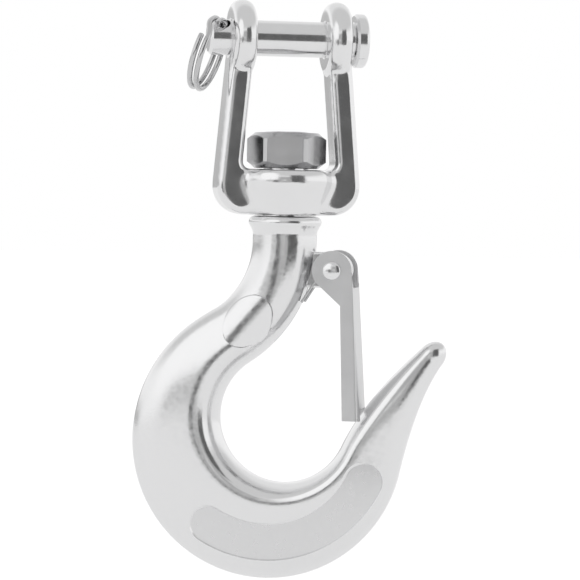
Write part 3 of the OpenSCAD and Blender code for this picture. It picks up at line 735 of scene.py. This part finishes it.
# %% Blocks that follow the hook's face
def leaning(outline, reach, lean_out):
    """A block through the hook's front face; its walls meet the face at the outline and lean outwards."""
    face = BVHTree.FromBMesh(body)
    ends = []
    for rise in (-reach, reach):
        ring = []
        for i, point in enumerate(outline):
            run = (outline[(i + 1) % len(outline)] - outline[i - 1]).normalized()
            place = point + lean_out * rise * Vector((run.y, -run.x))
            hit = face.ray_cast(Vector((point.x, -2 * BOWL_HALF, point.y)), Vector((0, 1, 0)))[0]
            ring.append(Vector((place.x, hit.y - rise, place.y)))
        ends.append(ring)
    block = lofted(ends)
    bmesh.ops.triangulate(block, faces=block.faces)
    return block


def thinned(thinner):
    """A copy of the hook whose thickness is scaled."""
    copy = body.copy()
    bmesh.ops.scale(copy, vec=(1, thinner, 1), verts=copy.verts)
    return copy


def taken(piece):
    """A workpiece's shape, to use it as a tool."""
    shape = bmesh.new()
    shape.from_mesh(piece.data)
    bpy.data.objects.remove(piece)
    return shape


def floored(shape, thinner):
    """What a block has outside a thinner copy of the hook."""
    block = blank("block", shape)
    work(block, thinned(thinner), "DIFFERENCE")
    return taken(block)


# %% Raise the pad
PAD_MIDDLE, PAD_TILT, PAD_HALF, PAD_STEPS = Vector((-9.6, -87.2)), 50, (8.8, 6.2), 96
PAD_H, PAD_FACE_R, PAD_SLOPE = 0.5, 13, 0.25
PAD_ROOT, PAD_SPARE, BARREL_STEPS = 0.4, 0.5, 256


def oval(wider):
    """The pad's outline, made wider all round."""
    along, across = (half + wider for half in PAD_HALF)
    return [PAD_MIDDLE + along * ray.x * heading(PAD_TILT) + across * ray.y * heading(PAD_TILT + 90)
            for ray in arc((0, 0), 1, 0, 360, PAD_STEPS)[:-1]]


pad_top = NECK_R + PAD_H
pad = blank("pad", lofted([[Vector((x, y, z)) for x, z in oval(PAD_SLOPE * (y + pad_top))]
                           for y in (-PAD_ROOT * pad_top, -pad_top - PAD_SPARE)]))
barrel = turn(rod(PAD_FACE_R, -2 * PAD_FACE_R, 2 * PAD_FACE_R, BARREL_STEPS), 90 - PAD_TILT, "Y")
work(pad, shift(barrel, x=PAD_MIDDLE.x, y=PAD_FACE_R - pad_top, z=PAD_MIDDLE.y), "INTERSECT")

# %% Cut the groove and the panel, and join the pad
GROOVE, GROOVE_THINNER = 0.45, 0.97
PANEL_CENTRE, PANEL_R, PANEL_HALF = Vector((-3.7, -121.4)), 33.8, 6.0
PANEL_START, PANEL_END, PANEL_STEPS, PANEL_END_STEPS = -121, -25, 64, 20
PANEL_THINNER, PANEL_LEAN, PANEL_REACH = 0.93, 1.0, 1.5


def panel_end(angle, start):
    """The round end of the panel at an angle, as half a turn from a start."""
    return arc(PANEL_CENTRE + PANEL_R * heading(angle), PANEL_HALF, start, start + 180, PANEL_END_STEPS)[1:]


panel_outline = [
    *arc(PANEL_CENTRE, PANEL_R + PANEL_HALF, PANEL_START, PANEL_END, PANEL_STEPS),
    *panel_end(PANEL_END, PANEL_END),
    *arc(PANEL_CENTRE, PANEL_R - PANEL_HALF, PANEL_END, PANEL_START, PANEL_STEPS)[1:],
    *panel_end(PANEL_START, PANEL_START + 180)[:-1],
]
panel_floor = BVHTree.FromBMesh(thinned(PANEL_THINNER))
panel = floored(leaning(panel_outline, PANEL_REACH, PANEL_LEAN), PANEL_THINNER)
groove = floored(shift(plate(oval(GROOVE), BOWL_HALF), y=-BOWL_HALF), GROOVE_THINNER)
hook = blank("hook_forging", body)
work(hook, panel, "DIFFERENCE")
work(hook, groove, "DIFFERENCE")
work(hook, taken(pad), "UNION")
print(f"hook with its pad and panel: {len(hook.data.polygons)} faces")

# %% [markdown]
# ## Shank, collar and lug
# The shank and its collar were turned on the forging after it was trimmed, and the lug for the latch was forged with
# the neck. Each is made by its own operator and joined to the loft, so that the hook is one closed skin. The skin is
# then split into triangles, because some of the thin faces that the cuts leave would fold over if they were split
# later. The faces on the panel's floor get the forged finish.

# %% Join the shank and its collar
SHANK_R, SHANK_END, SHANK_CHAMFER, COLLAR_R, FILLET_R, FILLET_SUNK = 7, -28.7, 0.3, 11.25, 6, 0.1

bead = (COLLAR_TOP - COLLAR_BOTTOM) / 2
bead_middle = Vector((COLLAR_R - bead, COLLAR_TOP - bead))
fillet_x = NECK_R - FILLET_SUNK + FILLET_R
fillet_drop = math.sqrt((bead + FILLET_R) ** 2 - (fillet_x - bead_middle.x) ** 2)
fillet_middle = Vector((fillet_x, bead_middle.y - fillet_drop))
meet = math.degrees(math.atan2(fillet_drop, fillet_x - bead_middle.x))
shank_profile = [
    (0, SHANK_END), (SHANK_R - SHANK_CHAMFER, SHANK_END), (SHANK_R, SHANK_END - SHANK_CHAMFER), (SHANK_R, COLLAR_TOP),
    *arc(bead_middle, bead, 90, -meet, 2 * ROUND_STEPS),
    *arc(fillet_middle, FILLET_R, 180 - meet, 180, ROUND_STEPS)[1:], (0, fillet_middle.y)]
work(hook, turned(shank_profile, FINE_STEPS), "UNION")

# %% Join the lug and drill it
PIVOT, LUG_T, LUG_R, LUG_BORE, LUG_STEPS = Vector((16.0, -71.1)), 5, 5.5, 2.08, 24
LUG_EDGE, LUG_EDGE_STEPS = 0.5, 3
RIVET_REACH = 12


def on_pivot(bm):
    """Lays a turned shape across the hook, on the latch's pivot."""
    return shift(turn(bm, 90, "X"), x=PIVOT.x, z=PIVOT.y)


lug_outline = [(0, PIVOT.y + LUG_R), *arc(PIVOT, LUG_R, 90, -90, LUG_STEPS), (0, PIVOT.y - LUG_R)]
work(hook, round_rims(plate(lug_outline, LUG_T), LUG_EDGE, LUG_EDGE_STEPS), "UNION")
work(hook, on_pivot(rod(LUG_BORE, -RIVET_REACH, RIVET_REACH, DRILL_STEPS)), "DIFFERENCE")

# %% Mark the panel's floor and finish the hook
FLOOR_NEAR = 0.02


def on_panel_floor(place):
    in_band = abs((place.xz - PANEL_CENTRE).length - PANEL_R) < PANEL_HALF
    return place.y < 0 and in_band and panel_floor.find_nearest(place)[3] < FLOOR_NEAR


skin = bmesh.new()
skin.from_mesh(hook.data)
bmesh.ops.triangulate(skin, faces=skin.faces)
skin.to_mesh(hook.data)
skin.free()
forged_faces = [face for face in hook.data.polygons if on_panel_floor(face.center)]
for face in forged_faces:
    face.material_index = 1
print(f"panel floor: {len(forged_faces)} faces")
hand_over(swivelled(hook), "hook", "hook", "polished_stainless", tumbled_forging, as_forged)

# %% [markdown]
# ## The latch
# The safety latch is one piece of sheet, folded to a channel: two cheeks with round heads, and a web between them. It
# is drawn as a single surface, as the blank was before it had a thickness. The fold lines are rounded with a bevel,
# and then the sheet gets its thickness inwards.

# %% Fold the sheet
LATCH_HALF, SHEET_T, CHEEK_R, CHEEK_TURN, CHEEK_STEPS = 7.8, 1.2, 6.1, 228, 40
WEB_TOP, WEB_FOOT, SHOULDER = Vector((22.7, -76.3)), Vector((25.56, -117.196)), Vector((18.785, -81.8))
CHEEK_FOOT, FOLD_ROUND, FOLD_STEPS = 5.5, 1.6, 6

cheek_head = arc(PIVOT, CHEEK_R, CHEEK_TURN, 0, CHEEK_STEPS)
cheek_outline = [*cheek_head, WEB_TOP, WEB_FOOT, WEB_FOOT - Vector((CHEEK_FOOT, 0)), SHOULDER]
sheet = bmesh.new()
rim = [sheet.verts.new((x, -LATCH_HALF, z)) for x, z in cheek_outline]
sheet.faces.new(rim)
web_edge = sheet.edges.get(rim[len(cheek_head):len(cheek_head) + 2])
grown = bmesh.ops.extrude_edge_only(sheet, edges=[web_edge])
bmesh.ops.translate(sheet, verts=new_verts(grown), vec=(0, LATCH_HALF, 0))
bmesh.ops.mirror(sheet, geom=sheet.verts[:] + sheet.edges[:] + sheet.faces[:], matrix=Matrix.Identity(4),
                 merge_dist=SAME_PLACE, axis="Y")
bmesh.ops.remove_doubles(sheet, verts=sheet.verts, dist=SAME_PLACE)
bmesh.ops.recalc_face_normals(sheet, faces=sheet.faces)
near_cheek = min(sheet.faces, key=lambda f: f.calc_center_median().y)
if near_cheek.normal.y > 0:
    bmesh.ops.reverse_faces(sheet, faces=sheet.faces)
folds = [e for e in sheet.edges if len(e.link_faces) == 2 and abs(abs(e.verts[0].co.y) - LATCH_HALF) < SAME_PLACE
         and abs(e.verts[0].co.y - e.verts[1].co.y) < SAME_PLACE]
bmesh.ops.bevel(sheet, geom=folds, offset=FOLD_ROUND, segments=FOLD_STEPS, profile=0.5, affect="EDGES", material=-1)
print(f"folded sheet: {len(folds)} folds, {len(sheet.faces)} faces")

# %% Give the sheet its thickness, drill it and notch its foot
LEG_Y, NOTCH_H, NOTCH_DEPTH, RIVET_HOLE = 5.9, 3.598, 14, 2.02
SHEET_EDGE, SHEET_EDGE_ANGLE = 0.12, 50

latch = blank("sheet_latch", sheet)
thick = latch.modifiers.new("thick", "SOLIDIFY")
thick.thickness, thick.offset, thick.use_even_offset = SHEET_T, -1, True
settle(latch)
work(latch, on_pivot(rod(RIVET_HOLE, -RIVET_REACH, RIVET_REACH, DRILL_STEPS)), "DIFFERENCE")
notch = bmesh.new()
bmesh.ops.create_cube(notch, size=1)
bmesh.ops.scale(notch, vec=(NOTCH_DEPTH, 2 * LEG_Y, 2 * NOTCH_H), verts=notch.verts)
work(latch, shift(notch, x=WEB_FOOT.x, z=WEB_FOOT.y), "DIFFERENCE")
soften(latch, SHEET_EDGE, SHEET_EDGE_ANGLE)
hand_over(swivelled(latch), "latch", "latch", "satin_stainless", rolled_sheet)

# %% [markdown]
# ## The rivet
# A round-headed rivet carries the latch. It is one turned profile, with a low dome at each end.

# %% Turn the rivet
RIVET_R, RIVET_HEAD_R, RIVET_HEAD_H, RIVET_LAND = 2.0, 2.85, 1.2, 0.2
DOME_STEPS, RIVET_STEPS, RIVET_CREASE = 10, 64, 40

dome = [(RIVET_HEAD_R * ray.x, LATCH_HALF + RIVET_LAND + (RIVET_HEAD_H - RIVET_LAND) * ray.y)
        for ray in arc((0, 0), 1, 0, 90, DOME_STEPS)]
rivet_side = [(RIVET_R, LATCH_HALF), (RIVET_HEAD_R, LATCH_HALF), *dome]
rivet_profile = [(r, -h) for r, h in reversed(rivet_side)] + rivet_side
rivet = blank("dome_rivet", on_pivot(turned(rivet_profile, RIVET_STEPS)))
hand_over(swivelled(rivet), "latch", "latch_rivet", "polished_stainless", turned_bar, crease=RIVET_CREASE)

# %% [markdown]
# ## The spring
# A double torsion spring sits round the rivet: a leg on the neck, a coil on each side of the lug, and a bridge that
# presses on the latch's web. It is the same wire on another path, and it is attached to no body.

# %% Wind the spring
SPRING_WIRE, COIL_R, COIL_START, COIL_END, COIL_SWEEP = 0.8, 2.9, -212.528, 10.008, 857.464
LEG_FOOT, BRIDGE, BRIDGE_ROUND = Vector((6.109, -81.216)), Vector((21.415, -85.1)), 1.2
LEG_Y_IN, LEG_Y_OUT = 3.061, 6.039
COIL_STATIONS, LEG_STATIONS = 90, 6


def in_plane(point, y):
    return Vector((point.x, y, point.y))


leg_top = PIVOT + COIL_R * heading(COIL_START)
half_path = [in_plane(mix(LEG_FOOT, leg_top, i / LEG_STATIONS), LEG_Y_IN) for i in range(LEG_STATIONS)]
for i in range(COIL_STATIONS + 1):
    t = i / COIL_STATIONS
    half_path.append(in_plane(PIVOT + COIL_R * heading(COIL_START - COIL_SWEEP * t), mix(LEG_Y_IN, LEG_Y_OUT, t)))
coil_end = PIVOT + COIL_R * heading(COIL_END)
run = (BRIDGE - coil_end).normalized()
half_path += [in_plane(mix(coil_end, BRIDGE - BRIDGE_ROUND * run, i / LEG_STATIONS), LEG_Y_OUT)
              for i in range(1, LEG_STATIONS)]
half_path += [in_plane(BRIDGE - BRIDGE_ROUND * (1 - ray.y) * run, LEG_Y_OUT - BRIDGE_ROUND * (1 - ray.x))
              for ray in arc((0, 0), 1, 0, 90, LEG_STATIONS)]
spring_path = half_path + [Vector((p.x, -p.y, p.z)) for p in reversed(half_path)]

# %% Lay the spring wire, on no body
spring = blank("torsion_spring", wire(spring_path, SPRING_WIRE, (0, 1, 0)))
hand_over(swivelled(spring), None, "latch_spring", "spring_wire", drawn_wire_painted_shade)
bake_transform(spring)

# %% [markdown]
# ## The studio
# The photo shows the steel in a white tent with dark openings on both sides of the camera: those are the dark bands
# on the pin, the neck and the nut. A pale floor, a bright world and a few dark cards that only reflections can see
# give the same bands. The floor gets a little of its own light for the camera, so that it reads as white and still
# takes a shadow.

# %% Floor
FLOOR_DROP, FLOOR_SIZE, PAPER_WHITE, PAPER_ROUGH = 0.04, 6, 0.9, 0.9
FLOOR_GLOW = (("Is Camera Ray", 0.4), ("Is Glossy Ray", 0.17), ("Is Transmission Ray", 0.17))

floor_paper = bpy.data.materials.new("floor_paper")
nodes, links = tree(floor_paper)
paper = nodes["Principled BSDF"]
paper.inputs["Base Color"].default_value = (PAPER_WHITE, PAPER_WHITE, PAPER_WHITE, 1)
paper.inputs["Roughness"].default_value = PAPER_ROUGH
paper.inputs["Specular IOR Level"].default_value = 0
paper.inputs["Emission Color"].default_value = (1, 1, 1, 1)
rays = nodes.new("ShaderNodeLightPath")
own_light = None
for kind, glow in FLOOR_GLOW:
    share = nodes.new("ShaderNodeMath")
    share.operation = "MULTIPLY_ADD"
    share.inputs[1].default_value = glow
    share.inputs[2].default_value = 0
    links.new(rays.outputs[kind], share.inputs[0])
    if own_light:
        links.new(own_light, share.inputs[2])
    own_light = share.outputs["Value"]
links.new(own_light, paper.inputs["Emission Strength"])

ground = bmesh.new()
bmesh.ops.create_grid(ground, x_segments=1, y_segments=1, size=FLOOR_SIZE)
shift(ground, z=cad_box[0][2] - FLOOR_DROP)
floor = blank("floor", ground)
floor.data.materials.append(floor_paper)

# %% Dark and grey cards round the camera
CARD_R, FRONT_R, CARD_STEPS = 0.8, 0.78, 24
AHEAD = math.degrees(VIEW_AZIMUTH) - 90


def emitter(name, tone):
    """A plain grey glow."""
    material = bpy.data.materials.new(name)
    nodes, links = tree(material)
    nodes.clear()
    glow = nodes.new("ShaderNodeEmission")
    glow.inputs["Color"].default_value = (tone, tone, tone, 1)
    out = nodes.new("ShaderNodeOutputMaterial")
    links.new(glow.outputs["Emission"], out.inputs["Surface"])
    return material


for name, radius, start, end, low, high, tone in (
    ("card_far_left", CARD_R, -48, -30, -0.14, -0.03, 0.55),
    ("card_left", CARD_R, -30, -17, -0.26, -0.01, 0.15),
    ("card_middle", CARD_R, -17, 12, -0.26, 0.25, 0.45),
    ("card_right", CARD_R, 12, 47, -0.28, 0.42, 0.12),
    ("card_front", FRONT_R, -9, 2, -0.065, 0.0, 0.8),
):
    strip = bmesh.new()
    verts = [strip.verts.new((*point, low)) for point in arc((0, 0), radius, AHEAD + start, AHEAD + end, CARD_STEPS)]
    edges = [strip.edges.new(pair) for pair in zip(verts, verts[1:])]
    grown = bmesh.ops.extrude_edge_only(strip, edges=edges)
    bmesh.ops.translate(strip, verts=new_verts(grown), vec=(0, 0, high - low))
    card = blank(name, strip)
    card.data.materials.append(emitter(name, tone))
    card.visible_camera = card.visible_diffuse = card.visible_shadow = card.visible_transmission = False

# %% The world, and helpers for its tones
world = bpy.data.worlds.new("white_tent")
scene.world = world
nodes, links = tree(world)
nodes.clear()
ray_from = nodes.new("ShaderNodeTexCoord").outputs["Generated"]


def slope(value, start, end, low, high):
    """A smooth step of a value between two ends."""
    node = nodes.new("ShaderNodeMapRange")
    node.interpolation_type = "SMOOTHSTEP"
    for socket, number in (("From Min", start), ("From Max", end), ("To Min", low), ("To Max", high)):
        node.inputs[socket].default_value = number
    links.new(value, node.inputs["Value"])
    return node.outputs["Result"]


def times(a, b):
    node = nodes.new("ShaderNodeMath")
    node.operation = "MULTIPLY"
    links.new(a, node.inputs[0])
    links.new(b, node.inputs[1])
    return node.outputs["Value"]


def facing(side):
    """How far a ray points to a side."""
    node = nodes.new("ShaderNodeVectorMath")
    node.operation = "DOT_PRODUCT"
    node.inputs[1].default_value = side
    links.new(ray_from, node.inputs[0])
    return node.outputs["Value"]


def toward(value, target, share):
    node = nodes.new("ShaderNodeMix")
    node.inputs["B"].default_value = target
    links.new(share, node.inputs["Factor"])
    links.new(value, node.inputs["A"])
    return node.outputs["Result"]


# %% Tones of the tent: a greyer roof, a greyer rear and a bright key
ROOF_TONE, REAR_TONE, KEY_TONE = 0.67, 0.5, 1.08
KEY_SIDE, REAR_SIDE = (-0.74, -0.53, 0.41), (-0.5, 0.87, 0)
ROOF_RISE, ROOF_BACK, ROOF_BACK_SHARE = (0.2, 0.6), (0.1, 0.6), 0.45
REAR_TURN, REAR_RISE, KEY_EDGE = (0.2, 0.9), (0, 0.2), (0.89, 0.95)

parts = nodes.new("ShaderNodeSeparateXYZ")
links.new(ray_from, parts.inputs["Vector"])
up, back = parts.outputs["Z"], parts.outputs["Y"]
roof = times(slope(up, *ROOF_RISE, 0, 1), slope(back, *ROOF_BACK, 1, ROOF_BACK_SHARE))
rear = times(slope(facing(REAR_SIDE), *REAR_TURN, 0, 1), slope(up, *REAR_RISE, 1, 0))
tone = times(slope(roof, 0, 1, 1, ROOF_TONE), slope(rear, 0, 1, 1, REAR_TONE))
tone = toward(tone, KEY_TONE, slope(facing(KEY_SIDE), *KEY_EDGE, 0, 1))

# %% White for the camera, the tent for all other rays
tent = nodes.new("ShaderNodeBackground")
links.new(tone, tent.inputs["Color"])
backdrop = nodes.new("ShaderNodeBackground")
backdrop.inputs["Color"].default_value = (1, 1, 1, 1)
rays = nodes.new("ShaderNodeLightPath")
choose = nodes.new("ShaderNodeMixShader")
links.new(rays.outputs["Is Camera Ray"], choose.inputs["Fac"])
links.new(tent.outputs["Background"], choose.inputs[1])
links.new(backdrop.outputs["Background"], choose.inputs[2])
out = nodes.new("ShaderNodeOutputWorld")
links.new(choose.outputs["Shader"], out.inputs["Surface"])
